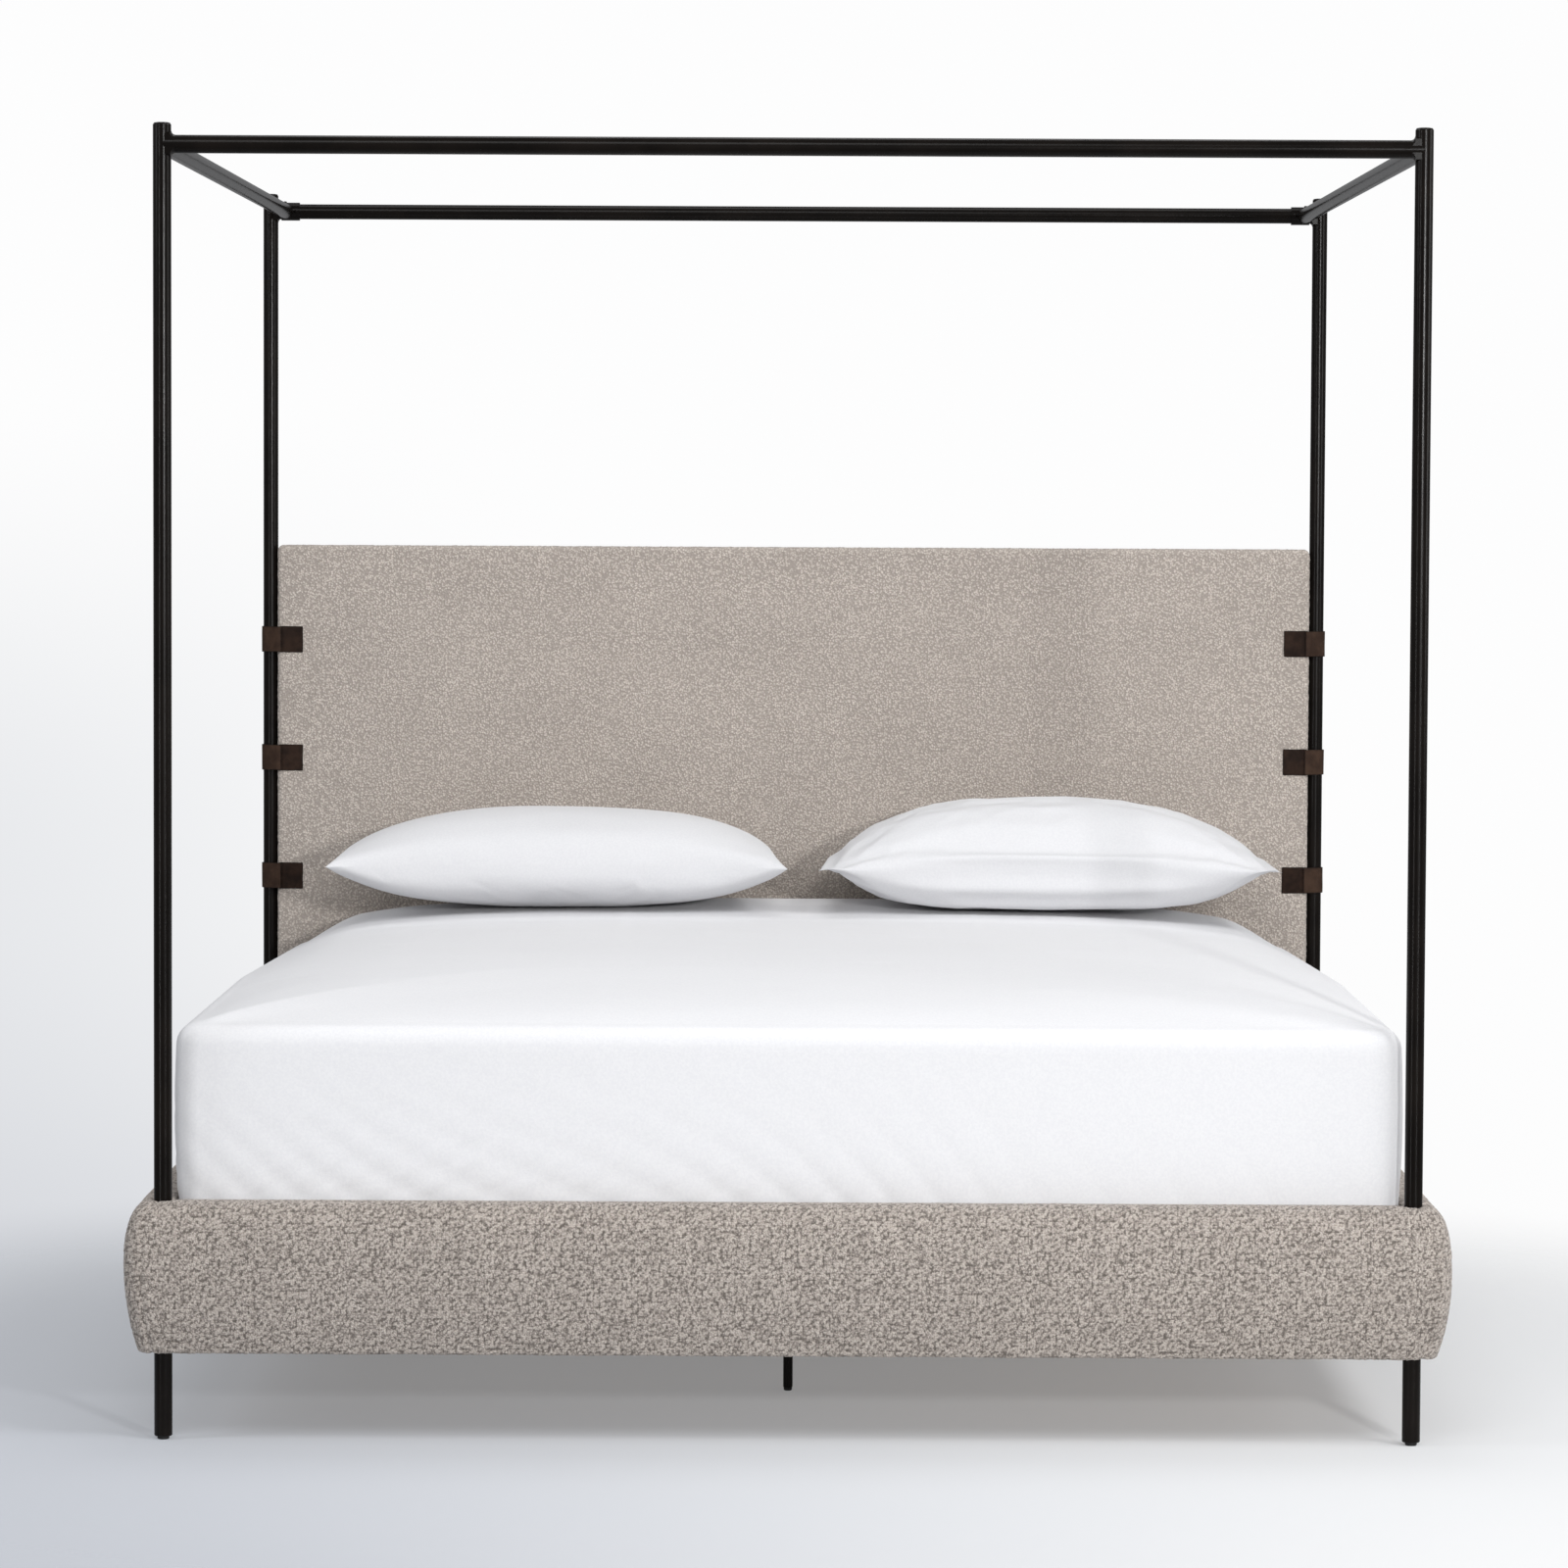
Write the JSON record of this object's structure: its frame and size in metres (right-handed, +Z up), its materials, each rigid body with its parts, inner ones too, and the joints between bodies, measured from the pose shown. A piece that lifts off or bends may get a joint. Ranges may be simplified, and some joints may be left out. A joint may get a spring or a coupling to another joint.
{
  "type": "four poster canopy bed",
  "caption": "Slim iron four poster canopy bed with padded rails and a padded headboard strapped to its rear posts, dressed with mattress, fitted sheet and pillows.",
  "frame": {"origin": "on the floor, at the middle of the bed's outline", "axes": "+Y towards the head of the bed, +Z up, +X to the right for someone standing at the foot end"},
  "size_m": [2.082, 2.1744, 2.066],
  "materials": {
    "iron": "satin",
    "steel": "satin",
    "foot_plastic": "matte",
    "wood": "matte",
    "foam": "matte",
    "boucle": "matte",
    "leather": "satin",
    "ticking": "matte",
    "white_linen": "matte"
  },
  "bodies": {
    "bed_frame": {"front_left_post": "iron", "front_right_post": "iron", "rear_left_post": "iron", "rear_right_post": "iron", "post_caps": "iron", "front_canopy_rail": "iron", "rear_canopy_rail": "iron", "left_canopy_rail": "iron", "right_canopy_rail": "iron", "canopy_spigots": "steel", "rail_saddles": "iron", "canopy_screws": "iron", "leg_inserts": "steel", "footboard_core": "wood", "footboard_foam": "foam", "footboard_cover": "boucle", "left_rail_core": "wood", "left_rail_foam": "foam", "left_rail_cover": "boucle", "right_rail_core": "wood", "right_rail_foam": "foam", "right_rail_cover": "boucle", "head_rail": "wood", "corner_brackets": "steel", "bracket_bolts": "steel", "centre_beam": "steel", "beam_hangers": "steel", "hanger_screws": "steel", "front_centre_leg": "iron", "middle_centre_leg": "iron", "rear_centre_leg": "iron", "ledgers": "wood", "ledger_screws": "steel", "slats": "wood", "slat_webbing": "ticking", "headboard_core": "wood", "headboard_foam": "foam", "headboard_cover": "boucle", "headboard_bolts": "steel", "left_top_strap": "leather", "left_middle_strap": "leather", "left_low_strap": "leather", "right_top_strap": "leather", "right_middle_strap": "leather", "right_low_strap": "leather", "strap_patches": "leather", "strap_screws": "steel"},
    "front_left_foot_body": {"front_left_foot": "foot_plastic"},
    "front_right_foot_body": {"front_right_foot": "foot_plastic"},
    "rear_left_foot_body": {"rear_left_foot": "foot_plastic"},
    "rear_right_foot_body": {"rear_right_foot": "foot_plastic"},
    "front_centre_foot_body": {"front_centre_foot": "foot_plastic"},
    "middle_centre_foot_body": {"middle_centre_foot": "foot_plastic"},
    "rear_centre_foot_body": {"rear_centre_foot": "foot_plastic"},
    "mattress_body": {"mattress": "ticking", "fitted_sheet": "white_linen"},
    "left_pillow_body": {"left_pillow": "white_linen"},
    "right_pillow_body": {"right_pillow": "white_linen"}
  },
  "joints": [
    {"name": "front_left_foot_screw", "type": "slide", "parent": "bed_frame", "child": "front_left_foot_body", "axis": [0, 0, -1], "range_m": [0, 0.01]},
    {"name": "front_right_foot_screw", "type": "slide", "parent": "bed_frame", "child": "front_right_foot_body", "axis": [0, 0, -1], "range_m": [0, 0.01]},
    {"name": "rear_left_foot_screw", "type": "slide", "parent": "bed_frame", "child": "rear_left_foot_body", "axis": [0, 0, -1], "range_m": [0, 0.01]},
    {"name": "rear_right_foot_screw", "type": "slide", "parent": "bed_frame", "child": "rear_right_foot_body", "axis": [0, 0, -1], "range_m": [0, 0.01]},
    {"name": "front_centre_foot_screw", "type": "slide", "parent": "bed_frame", "child": "front_centre_foot_body", "axis": [0, 0, -1], "range_m": [0, 0.01]},
    {"name": "middle_centre_foot_screw", "type": "slide", "parent": "bed_frame", "child": "middle_centre_foot_body", "axis": [0, 0, -1], "range_m": [0, 0.01]},
    {"name": "rear_centre_foot_screw", "type": "slide", "parent": "bed_frame", "child": "rear_centre_foot_body", "axis": [0, 0, -1], "range_m": [0, 0.01]},
    {"name": "mattress_lift", "type": "slide", "parent": "bed_frame", "child": "mattress_body", "axis": [0, 0, 1], "range_m": [0, 0.25]},
    {"name": "left_pillow_lift", "type": "slide", "parent": "mattress_body", "child": "left_pillow_body", "axis": [0, 0, 1], "range_m": [0, 0.35]},
    {"name": "right_pillow_lift", "type": "slide", "parent": "mattress_body", "child": "right_pillow_body", "axis": [0, 0, 1], "range_m": [0, 0.35]}
  ]
}
